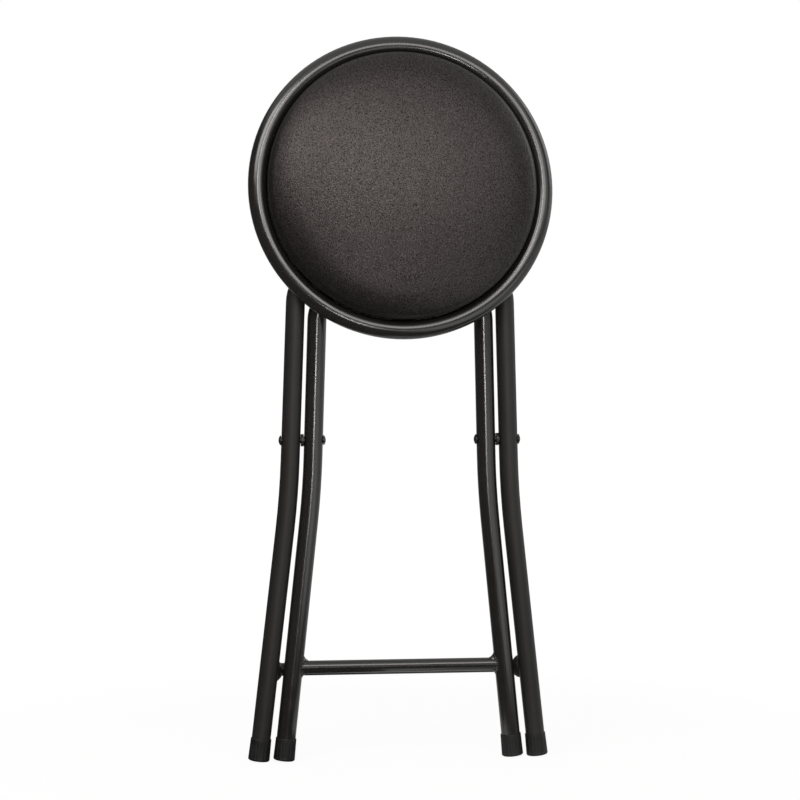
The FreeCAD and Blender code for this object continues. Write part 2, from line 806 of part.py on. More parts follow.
def cushion_curve(sketch, inward):
    """Crown, shoulder and drawn-in side of the cushion, offset inward by a thickness.

    Returns the crown's number, its apex's end and the side's number. The side's start is its low end.
    """
    crown_radius = named("crown_radius") - inward
    shoulder_radius = named("shoulder_radius") - inward
    angle = named("side_angle")
    side_out = sine(angle) * named("side_length") - cosine(angle) * named("shoulder_radius")
    side_rise = cosine(angle) * named("side_length") + sine(angle) * named("shoulder_radius")
    centre_x = WAIST_RADIUS + side_out
    centre_y = named("waist_height") + side_rise
    waist = WAIST_RADIUS - inward

    between = (crown_radius - shoulder_radius).value
    centre = V(centre_x.value, centre_y.value, 0)
    crown_centre = V(0, centre.y - math.sqrt(between ** 2 - centre.x ** 2), 0)
    apex = crown_centre + DEPTH * crown_radius.value
    crown_end = crown_centre + (centre - crown_centre).normalize() * crown_radius.value
    slope = math.radians(angle.value)
    touch = centre + V(math.cos(slope), -math.sin(slope), 0) * shoulder_radius.value
    low = touch - V(1, 1 / math.tan(slope), 0) * (touch.x - waist.value)

    crown, crown_ends = turn(crown_end, apex, crown_centre)
    crown = sketch.addGeometry(crown, False)
    edge, edge_ends = turn(touch, crown_end, centre)
    edge = sketch.addGeometry(edge, False)
    side = sketch.addGeometry(Part.LineSegment(low, touch), False)
    add = sketch.addConstraint
    add(Sketcher.Constraint("Tangent", side, 2, edge, edge_ends[0]))
    add(Sketcher.Constraint("Tangent", edge, edge_ends[1], crown, crown_ends[0]))
    add(Sketcher.Constraint("PointOnObject", crown, 3, -2))
    add(Sketcher.Constraint("PointOnObject", crown, crown_ends[1], -2))
    drive(sketch, "Radius", (crown,), crown_radius)
    drive(sketch, "Radius", (edge,), shoulder_radius)
    place_point(sketch, edge, 3, centre_x, centre_y)
    drive(sketch, "DistanceX", (-1, 1, side, 1), waist)
    drive(sketch, "Angle", (side,), as_size(RIGHT_ANGLE) - angle)
    return crown, crown_ends[1], side


def add_chain(sketch, start, corners, finish):
    """Straight sides from one sketch point through the corners to another sketch point."""
    first = sketch.getPoint(*start)
    last = sketch.getPoint(*finish)
    points = [first] + [V(x.value, y.value, 0) for x, y in corners] + [last]
    sides = [sketch.addGeometry(Part.LineSegment(a, b), False) for a, b in zip(points, points[1:])]
    sketch.addConstraint(Sketcher.Constraint("Coincident", *start, sides[0], 1))
    for before, after, (x, y) in zip(sides, sides[1:], corners):
        sketch.addConstraint(Sketcher.Constraint("Coincident", before, 2, after, 1))
        place_point(sketch, after, 1, x, y)
    sketch.addConstraint(Sketcher.Constraint("Coincident", sides[-1], 2, *finish))


def seat_foam():
    """The pad under the cover: the cushion's form less the cover's thickness, on the board."""
    body = new_body("seat_foam")
    profile = new_sketch(body, "foam_profile", "XZ_Plane")
    thickness = named("cover_thickness")
    crown, apex, side = cushion_curve(profile, thickness)
    corners = ((BOARD_RADIUS, BOARD_TOP), (NOTHING, BOARD_TOP))
    add_chain(profile, (side, 1), corners, (crown, apex))
    revolve(body, profile)
    return body


def seat_cover():
    """One skin over the pad and round the board's edge, with a hem under the board."""
    body = new_body("seat_cover")
    profile = new_sketch(body, "cover_profile", "XZ_Plane")
    thickness = named("cover_thickness")
    outer_crown, outer_apex, outer_side = cushion_curve(profile, NOTHING)
    inner_crown, inner_apex, inner_side = cushion_curve(profile, thickness)
    corners = (
        (WAIST_RADIUS, HEM_UNDER),
        (HEM_RADIUS, HEM_UNDER),
        (HEM_RADIUS, BOARD_UNDER),
        (BOARD_RADIUS, BOARD_UNDER),
    )
    add_chain(profile, (outer_side, 1), corners, (inner_side, 1))
    add_chain(profile, (inner_crown, inner_apex), (), (outer_crown, outer_apex))
    revolve(body, profile)
    low = HEM_UNDER.value + SAME
    wide = WAIST_RADIUS.value - SAME
    round_edges(
        body, thickness * HEM_ROUNDING_SHARE,
        lambda edge: edge.BoundBox.ZMax < low and edge.BoundBox.XMax > wide,
    )
    holes = new_sketch(body, "hem_holes", "XY_Plane")
    for x, y in tab_screw_places():
        add_circle(holes, screw_hole_radius, x, y)
    cut_through(body, holes, way=-1)
    return body


HEM_ROUNDING_SHARE = 0.9


def pivot_bracket(word, side):
    """A strap of sheet steel bent round the bush, with a foot on both sides."""
    body = new_body(f"pivot_bracket_{word}")
    profile = new_sketch(body, f"bracket_profile_{word}", "YZ_Plane")
    inside = LOOP_INSIDE
    outside = LOOP_OUTSIDE
    sheet_top = BOARD_UNDER
    sheet_low = BOARD_UNDER - named("bracket_sheet")
    reach = BRACKET_REACH
    centre = V(PIVOT_Y.value, PIVOT_Z.value, 0)
    corners = (
        (-inside, PIVOT_Z),
        (-inside, sheet_top),
        (-reach, sheet_top),
        (-reach, sheet_low),
        (-outside, sheet_low),
        (-outside, PIVOT_Z),
    )
    mirrored = [(-y, z) for y, z in reversed(corners)]
    add_arcs_outline(profile, centre, corners, mirrored)
    pad(body, profile, named("bracket_width"), middle=True)
    inner_bend = named("bracket_bend")
    at_low = sheet_low.value
    at_side = outside.value
    round_edges(
        body, inner_bend,
        lambda edge: runs_along(edge, ACROSS) and abs(middle_of(edge).z - at_low) < SAME
        and abs(abs(middle_of(edge).y - PIVOT_Y.value) - at_side) < SAME,
    )
    ends = reach.value
    round_edges(
        body, named("bracket_corner"),
        lambda edge: runs_along(edge, UP) and abs(abs(middle_of(edge).y - PIVOT_Y.value) - ends) < SAME,
    )
    holes = new_sketch(body, f"bracket_holes_{word}", "XY_Plane", sheet_low - named("overrun"))
    for way in (-1, 1):
        add_circle(holes, screw_hole_radius, NOTHING, PIVOT_Y + BRACKET_SCREW_Y * way)
    cut_through(body, holes, way=1)
    return body, FreeCAD.Placement(V(side * BRACKET_SPREAD.value, 0, 0), FreeCAD.Rotation())


def add_arcs_outline(profile, centre, corners, mirrored):
    """Two chains of straight sides, joined by half circles about one centre."""
    chains = []
    for chain in (corners, mirrored):
        points = [V((PIVOT_Y + y).value, z.value, 0) for y, z in chain]
        sides = [profile.addGeometry(Part.LineSegment(a, b), False) for a, b in zip(points, points[1:])]
        for before, after in zip(sides, sides[1:]):
            profile.addConstraint(Sketcher.Constraint("Coincident", before, 2, after, 1))
        for side, (y, z) in zip(sides, chain):
            place_point(profile, side, 1, PIVOT_Y + y, z)
        last_y, last_z = chain[-1]
        place_point(profile, sides[-1], 2, PIVOT_Y + last_y, last_z)
        chains.append((sides, points))
    (first, first_points), (second, second_points) = chains
    joints = (
        (first_points[-1], second_points[0], (first[-1], 2), (second[0], 1)),
        (first_points[0], second_points[-1], (first[0], 1), (second[-1], 2)),
    )
    for start, end, start_place, end_place in joints:
        radius = start.distanceToPoint(centre)
        arc = Part.ArcOfCircle(Part.Circle(centre, UP, radius), math.pi, math.tau)
        arc = profile.addGeometry(arc, False)
        profile.addConstraint(Sketcher.Constraint("Tangent", *start_place, arc, 1))
        profile.addConstraint(Sketcher.Constraint("Coincident", *end_place, arc, 2))


def pivot_bush(word, side):
    """A plastic sleeve between the strap and the outer frame's top bar, with a thin flange."""
    body = new_body(f"pivot_bush_{word}")
    profile = new_sketch(body, f"bush_section_{word}", "XY_Plane")
    bore = tube_radius + named("bush_clearance")
    half = named("bracket_width") / 2
    flange = named("bush_flange")
    rim = BUSH_RADIUS
    corners = (
        (-half - flange, bore),
        (half + flange, bore),
        (half + flange, rim),
        (-half - flange, rim),
    )
    add_outline(profile, corners)
    revolve(body, profile, "H_Axis")
    place = V(side * BRACKET_SPREAD.value, PIVOT_Y.value, PIVOT_Z.value)
    return body, FreeCAD.Placement(place, FreeCAD.Rotation())


def catch_clip(word, side):
    """A moulded hook whose saddle takes the inner frame's top bar when the stool is open.

    The far arm holds the bar against the spread of the legs. The near side is short, because the
    bar comes in from there.
    """
    body = new_body(f"catch_clip_{word}")
    profile = new_sketch(body, f"clip_profile_{word}", "YZ_Plane")
    wall = named("clip_wall")
    saddle = tube_radius + named("clip_clearance")
    back = saddle + wall
    mouth = named("clip_mouth_angle")
    arm = -named("clip_arm")
    web = named("clip_web") / 2
    foot = web + named("clip_flange_reach")
    top = BOARD_UNDER - CLIP_Z
    flange = top - named("clip_flange")
    web_base = root(back * back - web * web)
    near_in = (-saddle * cosine(mouth), saddle * sine(mouth))
    near_out = (-back * cosine(mouth), back * sine(mouth))
    straight = (
        (near_in, near_out),
        ((-web, web_base), (-web, flange)),
        ((-web, flange), (-foot, flange)),
        ((-foot, flange), (-foot, top)),
        ((-foot, top), (foot, top)),
        ((foot, top), (foot, flange)),
        ((foot, flange), (web, flange)),
        ((web, flange), (web, web_base)),
        ((back, NOTHING), (back, arm)),
        ((back, arm), (saddle, arm)),
        ((saddle, arm), (saddle, NOTHING)),
    )
    lines = []
    for start, end in straight:
        a, b = (V((CLIP_Y + y).value, (CLIP_Z + z).value, 0) for y, z in (start, end))
        line = profile.addGeometry(Part.LineSegment(a, b), False)
        lines.append((line, a, b))
    for index, (start, end) in enumerate(straight):
        place_point(profile, lines[index][0], 1, CLIP_Y + start[0], CLIP_Z + start[1])
        following = straight[(index + 1) % len(straight)]
        if following[0] is end:
            joint = (lines[index][0], 2, lines[index + 1][0], 1)
            profile.addConstraint(Sketcher.Constraint("Coincident", *joint))
        else:
            place_point(profile, lines[index][0], 2, CLIP_Y + end[0], CLIP_Z + end[1])
    centre = V(CLIP_Y.value, CLIP_Z.value, 0)
    for before, after, radius in ((0, 1, back), (7, 8, back), (10, 0, saddle)):
        start = lines[before][2]
        end = lines[after][1]
        arc, ends = turn(start, end, centre)
        arc = profile.addGeometry(arc, False)
        profile.addConstraint(Sketcher.Constraint("Coincident", lines[before][0], 2, arc, ends[0]))
        profile.addConstraint(Sketcher.Constraint("Coincident", arc, ends[1], lines[after][0], 1))
        drive(profile, "Radius", (arc,), radius)
    pad(body, profile, named("clip_width"), middle=True)
    far = foot.value
    round_edges(
        body, named("clip_corner"),
        lambda edge: runs_along(edge, UP) and abs(abs(middle_of(edge).y - CLIP_Y.value) - far) < SAME,
    )
    holes = new_sketch(body, f"clip_holes_{word}", "XY_Plane", CLIP_Z)
    for way in (-1, 1):
        add_circle(holes, screw_hole_radius, NOTHING, CLIP_Y + CLIP_SCREW_Y * way)
    cut_through(body, holes, way=1)
    return body, FreeCAD.Placement(V(side * named("clip_spread").value, 0, 0), FreeCAD.Rotation())


def screw(name):
    """A pan-head screw on its axis, the head's underside at zero and the shank upwards."""
    body = new_body(name)
    profile = new_sketch(body, f"{name}_profile", "XZ_Plane")
    head = named("screw_head_diameter") / 2
    low = -named("screw_head_height")
    recess = named("screw_recess_diameter") / 2
    floor = low + named("screw_recess_depth")
    corners = (
        (NOTHING, floor),
        (recess, floor),
        (recess, low),
        (head, low),
        (head, NOTHING),
        (screw_radius, NOTHING),
        (screw_radius, named("screw_length")),
        (NOTHING, named("screw_length")),
    )
    add_outline(profile, corners)
    revolve(body, profile)
    under = low.value + SAME
    wide = head.value - SAME
    round_edges(
        body, named("screw_head_rounding"),
        lambda edge: edge.BoundBox.ZMax < under and edge.BoundBox.XMax > wide,
    )
    return body


def screws(name, places, height):
    """Several screws of one kind as one group."""
    copies = []
    for number, (x, y) in enumerate(places, start=1):
        copy = screw(f"{name}_{number}")
        copy.Placement.Base = V(x.value, y.value, height.value)
        copies.append(copy)
    group = doc.addObject("Part::Compound", name)
    group.Links = copies
    doc.recompute()
    return group


# Places of the assembly


def seat_placement():
    """The folded seat: hung on the outer frame's top bar and leaning back over it."""
    lean = math.radians(named("seat_lean_angle").value)
    up = V(0, math.sin(lean), math.cos(lean))
    out = V(0, -math.cos(lean), math.sin(lean))
    pivot = V(0, 0, OUTER.top_rise.value)
    centre = pivot - up * PIVOT_Y.value - out * PIVOT_Z.value
    upright = RIGHT_ANGLE - named("seat_lean_angle").value
    return FreeCAD.Placement(centre, FreeCAD.Rotation(ACROSS, upright))


FLAT = FreeCAD.Placement()
SEAT = seat_placement()

keep(frame_tube(OUTER), FLAT)
keep(frame_tube(INNER), FLAT)
keep(inner_crossbar(), FLAT)
bar = outer_crossbar()
keep(bar, FreeCAD.Placement(V(0, BAR_DEPTH.value, -OUTER_BAR_DROP.value), FreeCAD.Rotation()))
keep(welds(OUTER, outer_weld), FLAT)
keep(welds(INNER, inner_weld), FLAT)
for word, side in SIDES:
    keep(*rivet(word, side))
    keep(spacer(word, side), FLAT)
for frame in (OUTER, INNER):
    for word, side in SIDES:
        keep(*foot_cap(frame, word, side))

for node in [seat_ring(), seat_board(), seat_foam(), seat_cover()] + ring_tabs():
    keep(node, SEAT)
for word, side in SIDES:
    for make in (pivot_bracket, pivot_bush, catch_clip):
        body, place = make(word, side)
        keep(body, SEAT.multiply(place))
keep(screws("bracket_screws", bracket_screw_places(), BOARD_UNDER - named("bracket_sheet")), SEAT)
keep(screws("clip_screws", clip_screw_places(), BOARD_UNDER - named("clip_flange")), SEAT)
keep(screws("tab_screws", tab_screw_places(), HEM_UNDER - named("tab_thickness")), SEAT)
doc.recompute()

# The origin lies on the floor, under the middle of the whole stool's depth.
depths = [node.Shape.optimalBoundingBox() for node in NODES]
middle_depth = (min(box.YMin for box in depths) + max(box.YMax for box in depths)) / 2
stand = FreeCAD.Placement(V(0, -middle_depth, named("rivet_height").value), FreeCAD.Rotation())
for node in NODES:
    node.Placement = stand.multiply(node.Placement)
doc.recompute()

for item in doc.Objects:
    if "Invalid" in item.State or "Error" in item.State:
        raise RuntimeError(f"{item.Name} failed: {item.State}")
for node in NODES:
    if node.Shape.isNull() or not node.Shape.isValid():
        raise RuntimeError(f"{node.Label} has no valid shape")

os.makedirs("parts", exist_ok=True)
for node in NODES:
    node.Shape.exportStep(f"parts/{node.Label}.step")
print("pieces", len(NODES), "depth shift", round(-middle_depth, 3))
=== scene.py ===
"""Looks of the folding stool: materials, cushion, foot caps, welds, screws, staples and light.

Everything is in metres in the model's own frame: X across, Y to the back, Z up, the floor at zero.
"""
import json
import math

import bmesh
import bpy
from mathutils import Matrix, Vector, noise


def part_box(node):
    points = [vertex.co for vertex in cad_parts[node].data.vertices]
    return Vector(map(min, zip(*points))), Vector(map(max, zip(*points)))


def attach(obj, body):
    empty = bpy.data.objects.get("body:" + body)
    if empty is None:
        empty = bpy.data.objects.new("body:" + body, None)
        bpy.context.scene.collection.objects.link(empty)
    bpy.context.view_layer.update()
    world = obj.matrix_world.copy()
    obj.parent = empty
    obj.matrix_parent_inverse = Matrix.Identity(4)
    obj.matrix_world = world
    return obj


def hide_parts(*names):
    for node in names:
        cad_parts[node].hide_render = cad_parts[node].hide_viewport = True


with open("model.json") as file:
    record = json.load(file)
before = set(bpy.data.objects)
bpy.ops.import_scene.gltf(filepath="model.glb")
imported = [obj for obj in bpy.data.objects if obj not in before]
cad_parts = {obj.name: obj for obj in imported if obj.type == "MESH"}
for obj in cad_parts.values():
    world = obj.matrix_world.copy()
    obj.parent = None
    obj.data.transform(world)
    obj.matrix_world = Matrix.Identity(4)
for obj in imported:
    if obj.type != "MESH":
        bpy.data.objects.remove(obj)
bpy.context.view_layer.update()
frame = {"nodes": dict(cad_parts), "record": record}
NODES = frame["nodes"]
MM = 0.001
UPRIGHT = math.pi / 2
UP = Vector((0, 0, 1))
SIDES = (("left", -1), ("right", 1))

# Place of the hinge and of the folded seat, as in the model's source

SEAT_LEAN = math.radians(9.8)
SEAT_TRAVEL = 75.0 * MM
PIVOT_DEPTH = 15.4 * MM
PIVOT_RISE = 175.0 * MM
rivet_low, rivet_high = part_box("rivet_left")
HINGE = Vector((0, (rivet_low.y + rivet_high.y) / 2, (rivet_low.z + rivet_high.z) / 2))
seat_up = Vector((0, math.sin(SEAT_LEAN), math.cos(SEAT_LEAN)))
seat_out = Vector((0, -math.cos(SEAT_LEAN), math.sin(SEAT_LEAN)))
seat_centre = HINGE + UP * PIVOT_RISE + seat_up * SEAT_TRAVEL + seat_out * PIVOT_DEPTH
# From the seat's own frame, with Z out of the cushion, to the model's
SEAT = Matrix.Translation(seat_centre) @ Matrix.Rotation(UPRIGHT - SEAT_LEAN, 4, "X")

# Camera, from the fit of the photograph's outlines

PHOTO_SIDE = 800
FOCAL_PIXELS = 2704.3
SENSOR_WIDTH = 36.0
CAMERA_DISTANCE = 2.7003
CAMERA_TURN = 0.13348
CAMERA_TILT = 0.06008
CAMERA_ROLL = 0.00343
CAMERA_AIM = Vector((-0.14 * MM, 0, 39.65 * MM))
CLIP_NEAR = 0.05
CLIP_FAR = 60.0


def link(name, data):
    """A new object in the scene."""
    obj = bpy.data.objects.new(name, data)
    bpy.context.scene.collection.objects.link(obj)
    return obj


def add_camera():
    toward = Vector((
        math.sin(CAMERA_TURN) * math.cos(CAMERA_TILT),
        math.cos(CAMERA_TURN) * math.cos(CAMERA_TILT),
        -math.sin(CAMERA_TILT),
    ))
    right = Vector((math.cos(CAMERA_TURN), -math.sin(CAMERA_TURN), 0))
    above = right.cross(toward)
    rolled_right = math.cos(CAMERA_ROLL) * right + math.sin(CAMERA_ROLL) * above
    rolled_up = -math.sin(CAMERA_ROLL) * right + math.cos(CAMERA_ROLL) * above
    data = bpy.data.cameras.new("camera")
    data.sensor_width = SENSOR_WIDTH
    data.lens = FOCAL_PIXELS * data.sensor_width / PHOTO_SIDE
    data.clip_start = CLIP_NEAR
    data.clip_end = CLIP_FAR
    camera = link("camera", data)
    place = HINGE + CAMERA_AIM - toward * CAMERA_DISTANCE
    axes = Matrix((rolled_right, rolled_up, -toward)).transposed().to_4x4()
    camera.matrix_world = Matrix.Translation(place) @ axes
    bpy.context.scene.camera = camera


# Materials


class Paint:
    """A material with its Principled shader and short calls for its nodes."""

    def __init__(self, name, base, roughness, **inputs):
        self.material = bpy.data.materials.new(name)
        self.material.use_nodes = True
        self.tree = self.material.node_tree
        self.shader = self.tree.nodes["Principled BSDF"]
        self.shader.inputs["Base Color"].default_value = (*base, 1)
        self.shader.inputs["Roughness"].default_value = roughness
        for socket, value in inputs.items():
            self.shader.inputs[socket.replace("_", " ")].default_value = value
        self.coordinates = self.tree.nodes.new("ShaderNodeTexCoord").outputs["Object"]
        self.relief = None

    def add(self, kind, links, **settings):
        node = self.tree.nodes.new(kind)
        for key, value in settings.items():
            setattr(node, key, value)
        for socket, source in links.items():
            if isinstance(source, bpy.types.NodeSocket):
                self.tree.links.new(source, node.inputs[socket])
            else:
                node.inputs[socket].default_value = source
        return node

    def stretched(self, scale):
        links = {"Vector": self.coordinates, "Scale": scale}
        return self.add("ShaderNodeMapping", links).outputs["Vector"]

    def noise(self, scale, detail=3.0, rough=0.5, vector=None, distortion=0.0):
        links = {
            "Vector": vector or self.coordinates, "Scale": scale, "Detail": detail,
            "Roughness": rough, "Distortion": distortion,
        }
        return self.add("ShaderNodeTexNoise", links).outputs["Fac"]

    def cells(self, scale, smoothness=0.4):
        links = {"Vector": self.coordinates, "Scale": scale}
        node = self.add("ShaderNodeTexVoronoi", links, feature="SMOOTH_F1")
        node.inputs["Smoothness"].default_value = smoothness
        return node.outputs["Distance"]

    def between(self, value, low, high, out_low=0.0, out_high=1.0):
        """The value, spread from low and high to the two ends given, and held there."""
        links = {
            "Value": value, "From Min": low, "From Max": high,
            "To Min": out_low, "To Max": out_high,
        }
        return self.add("ShaderNodeMapRange", links).outputs["Result"]

    def mix(self, factor, first, second):
        node = self.add("ShaderNodeMix", {"Factor": factor}, data_type="RGBA")
        for socket, value in ((node.inputs[6], first), (node.inputs[7], second)):
            if isinstance(value, bpy.types.NodeSocket):
                self.tree.links.new(value, socket)
            else:
                socket.default_value = (*value, 1)
        return node.outputs[2]

    def drive(self, socket, source):
        """Lets a pattern set one of the shader's inputs."""
        self.tree.links.new(source, self.shader.inputs[socket])

    def colour(self, source):
        self.drive("Base Color", source)

    def roughness(self, source):
        self.drive("Roughness", source)

    def bump(self, height, distance, strength=1.0):
        """Adds one layer of relief over those before it."""
        links = {"Height": height, "Distance": distance, "Strength": strength}
        if self.relief is not None:
            links["Normal"] = self.relief
        self.relief = self.add("ShaderNodeBump", links).outputs["Normal"]
        self.drive("Normal", self.relief)


def frame_paint(name, gloss, shine):
    """Black powder coat with a fine orange-peel skin, by its roughness and its reflectance."""
    paint = Paint(name, (0.0105, 0.0098, 0.009), gloss, Specular_IOR_Level=shine)
    cloud = paint.between(paint.noise(9.0, 2.0), 0.3, 0.7)
    speck = paint.between(paint.noise(1400.0, 2.0), 0.62, 0.78)
    tint = paint.mix(cloud, (0.009, 0.0084, 0.0077), (0.0125, 0.0117, 0.0107))
    paint.colour(paint.mix(speck, tint, (0.022, 0.0205, 0.019)))
    paint.roughness(paint.between(paint.noise(60.0, 3.0), 0.3, 0.7, gloss - 0.03, gloss + 0.04))
    paint.bump(paint.noise(900.0, 2.0, 0.6), 0.00003, 0.5)
    return paint.material


def vinyl():
    """Soft black vinyl with a fine pebbled grain, painted shade in the grooves between the pebbles,
    and small glints.
    """
    warm_shine = (1.0, 0.89, 0.875, 1.0)
    paint = Paint("black_vinyl", (0.0095, 0.0084, 0.008), 0.42, Specular_Tint=warm_shine)
    cloud = paint.between(paint.noise(16.0, 3.0), 0.3, 0.7)
    pebbles_and_groove_shade = paint.cells(760.0)
    tint = paint.mix(cloud, (0.0082, 0.0073, 0.0069), (0.0108, 0.0095, 0.009))
    # The grooves between the pebbles are coloured darker: this is painted shade, not the vinyl's
    # own colour.
    paint.colour(paint.mix(paint.between(pebbles_and_groove_shade, 0.3, 0.7), tint, (0.004, 0.0036, 0.0034)))
    paint.roughness(paint.between(paint.noise(300.0, 3.0), 0.3, 0.7, 0.36, 0.46))
    glints = paint.between(paint.noise(1250.0, 2.0, 0.6), 0.36, 0.64, 0.03, 1.0)
    paint.drive("Specular IOR Level", glints)
    paint.bump(pebbles_and_groove_shade, -0.00015, 0.8)
    paint.bump(paint.noise(620.0, 2.0, 0.6, distortion=0.6), 0.00012, 0.8)
    return paint.material


def rubber():
    """Dull black moulded rubber, a little dusty."""
    paint = Paint("foot_rubber", (0.005, 0.005, 0.005), 0.6, Specular_IOR_Level=0.45)
    dust = paint.noise(140.0, 4.0)
    dusty = paint.between(dust, 0.45, 0.8)
    paint.colour(paint.mix(dusty, (0.004, 0.0038, 0.0036), (0.0085, 0.0081, 0.0076)))
    paint.roughness(paint.between(dust, 0.3, 0.7, 0.5, 0.7))
    paint.bump(paint.noise(1600.0, 2.0), 0.00004, 0.6)
    return paint.material


def moulded_plastic():
    """Fine-textured black plastic of the clips and bushes."""
    paint = Paint("moulded_plastic", (0.016, 0.016, 0.016), 0.5)
    paint.colour(paint.mix(paint.noise(50.0, 3.0), (0.013, 0.013, 0.013), (0.02, 0.02, 0.02)))
    paint.roughness(paint.between(paint.noise(300.0), 0.3, 0.7, 0.44, 0.58))
    paint.bump(paint.cells(1800.0), -0.00004, 0.6)
    return paint.material


def board_wood():
    """Sawn fibreboard with fine fibres and darker flecks."""
    paint = Paint("fibreboard", (0.30, 0.205, 0.125), 0.72)
    fibres = paint.noise(260.0, 5.0, 0.65, paint.stretched((1.0, 1.0, 0.25)))
    flecks = paint.between(paint.noise(1500.0, 2.0), 0.6, 0.75)
    tint = paint.mix(paint.between(fibres, 0.3, 0.7), (0.25, 0.165, 0.098), (0.36, 0.25, 0.16))
    paint.colour(paint.mix(flecks, tint, (0.14, 0.09, 0.052)))
    paint.roughness(paint.between(fibres, 0.3, 0.7, 0.66, 0.8))
    paint.bump(fibres, 0.00015, 0.5)
    return paint.material


def zinc():
    """Bright zinc-plated steel of the screws and staples."""
    paint = Paint("zinc_plate", (0.55, 0.55, 0.56), 0.34, Metallic=1.0)
    cloud = paint.noise(700.0, 3.0)
    bright = paint.between(cloud, 0.3, 0.7)
    paint.colour(paint.mix(bright, (0.46, 0.46, 0.46), (0.62, 0.62, 0.61)))
    paint.roughness(paint.between(cloud, 0.3, 0.7, 0.28, 0.44))
    paint.bump(cloud, 0.00003, 0.4)
    return paint.material


def blackened():
    """Black-oxide steel of the rivets and spacers, with light rubbed spots."""
    paint = Paint("blackened_steel", (0.035, 0.034, 0.033), 0.3, Metallic=0.6)
    worn = paint.noise(420.0, 3.0)
    rubbed = paint.between(worn, 0.56, 0.8)
    paint.colour(paint.mix(rubbed, (0.03, 0.029, 0.028), (0.14, 0.135, 0.13)))
    paint.roughness(paint.between(worn, 0.3, 0.7, 0.24, 0.36))
    paint.bump(worn, 0.00003, 0.4)
    return paint.material


def dress(obj, material):
    """Gives every slot of an object one material."""
    if not obj.data.materials:
        obj.data.materials.append(material)
    for index in range(len(obj.data.materials)):
        obj.data.materials[index] = material


# Meshes


def shade_smooth(mesh, smooth=True):
    for polygon in mesh.polygons:
        polygon.use_smooth = smooth


def face_outward(mesh):
    """Turns every face's normal to the outside."""
    edit = bmesh.new()
    edit.from_mesh(mesh)
    bmesh.ops.recalc_face_normals(edit, faces=edit.faces)
    edit.to_mesh(mesh)
    edit.free()


def mesh_object(name, points, faces, matrix=None, smooth=True):
    mesh = bpy.data.meshes.new(name)
    mesh.from_pydata([tuple(point) for point in points], [], faces)
    mesh.validate()
    if matrix is not None:
        mesh.transform(matrix)
    shade_smooth(mesh, smooth)
    mesh.update()
    return link(name, mesh)


def quad(low, high, step, steps):
    """The face between one point of a lower ring and its neighbour, up to the ring above."""
    after = (step + 1) % steps
    return (low + step, low + after, high + after, high + step)


def lathe(name, profile, steps, matrix=None, offset=None):
    """A closed body turned about Z from (radius, height) pairs that start and end on the axis.

    offset(angle, index) moves a ring's point outward and up by what it returns.
    """
    rings = profile[1:-1]
    points = [Vector((0, 0, profile[0][1]))]
    for index, (radius, height) in enumerate(rings):
        for step in range(steps):
            angle = math.tau * step / steps
            out, lift = offset(angle, index) if offset else (0.0, 0.0)
            reach = radius + out
            place = (reach * math.cos(angle), reach * math.sin(angle), height + lift)
            points.append(Vector(place))
    points.append(Vector((0, 0, profile[-1][1])))
    last = len(points) - 1
    top = last - steps
    faces = []
    for step in range(steps):
        after = (step + 1) % steps
        faces.append((0, 1 + after, 1 + step))
        faces += [quad(low, low + steps, step, steps) for low in range(1, top, steps)]
        faces.append((top + step, top + after, last))
    obj = mesh_object(name, points, faces, matrix)
    face_outward(obj.data)
    return obj


def arc(centre, radius, start, end, steps):
    """Points of an arc from one angle to another, both ends included, as (x, y) pairs."""
    angles = [start + (end - start) * step / steps for step in range(steps + 1)]
    return [(centre[0] + radius * math.cos(a), centre[1] + radius * math.sin(a)) for a in angles]


def line(start, end, steps):
    """Points from start towards end, without the end."""
    x, y = start
    run, rise = end[0] - x, end[1] - y
    return [(x + run * step / steps, y + rise * step / steps) for step in range(steps)]


def joined(name, parts):
    """One object from several, with their meshes in world places."""
    edit = bmesh.new()
    for part in parts:
        part.data.transform(part.matrix_world)
        edit.from_mesh(part.data)
        bpy.data.objects.remove(part)
    mesh = bpy.data.meshes.new(name)
    edit.to_mesh(mesh)
    edit.free()
    shade_smooth(mesh)
    return link(name, mesh)


def apply_modifiers(obj):
    """Replaces the object's mesh with what its modifiers make of it."""
    shown = obj.evaluated_get(bpy.context.evaluated_depsgraph_get())
    mesh = bpy.data.meshes.new_from_object(shown)
    obj.modifiers.clear()
    obj.data = mesh
    shade_smooth(mesh)


def shade_by_angle(obj, degrees):
    """Smooth shading that keeps creases sharper than an angle."""
    edit = bmesh.new()
    edit.from_mesh(obj.data)
    for edge in edit.edges:
        flat = len(edge.link_faces) == 2 and edge.calc_face_angle() < math.radians(degrees)
        edge.smooth = flat
    edit.to_mesh(obj.data)
    edit.free()


# Cushion: its heights are over the middle of the seat's ring

BOARD_RADIUS = 132.0 * MM
BOARD_UNDER = -3.5 * MM
BOARD_TOP = 5.5 * MM
SKIN = 1.0 * MM
HEM_RADIUS = 116.0 * MM
HEM_UNDER = BOARD_UNDER - SKIN
HEM_ROUNDING = 1.1 * MM
WAIST = BOARD_RADIUS + SKIN + 0.4 * MM
WAIST_HEIGHT = 2.0 * MM
SIDE_ANGLE = math.radians(5.5)
SIDE_LENGTH = 8.5 * MM
SHOULDER_RADIUS = 12.0 * MM
FALL_START = 104.0 * MM
FALL_RADIUS = 76.0 * MM
CROWN_RADIUS = 460.0 * MM
CUSHION_STEPS = 144
PLEAT_ROWS = 10
PLEAT_EDGE_ROWS = 3
PLEATS = 26
PLEAT_HEIGHT = 0.55 * MM
PLEAT_SWAY = 1.4 * MM
WRINKLES = 60
WRINKLE_HEIGHT = 0.15 * MM
SAG = 1.6 * MM
SAG_ABOVE = BOARD_TOP + 1.0 * MM
PINNED_BELOW = 7.0 * MM
UNEVEN_ABOVE = 6.0 * MM
UNEVENNESS = 0.12 * MM
UNEVEN_WAVES = 22.0
CLOTH_FRAMES = 20
CLOTH_PRESSURE = 4.0
CLOTH_REACH = 5.0 * MM
CLOTH_SHARE = 0.25


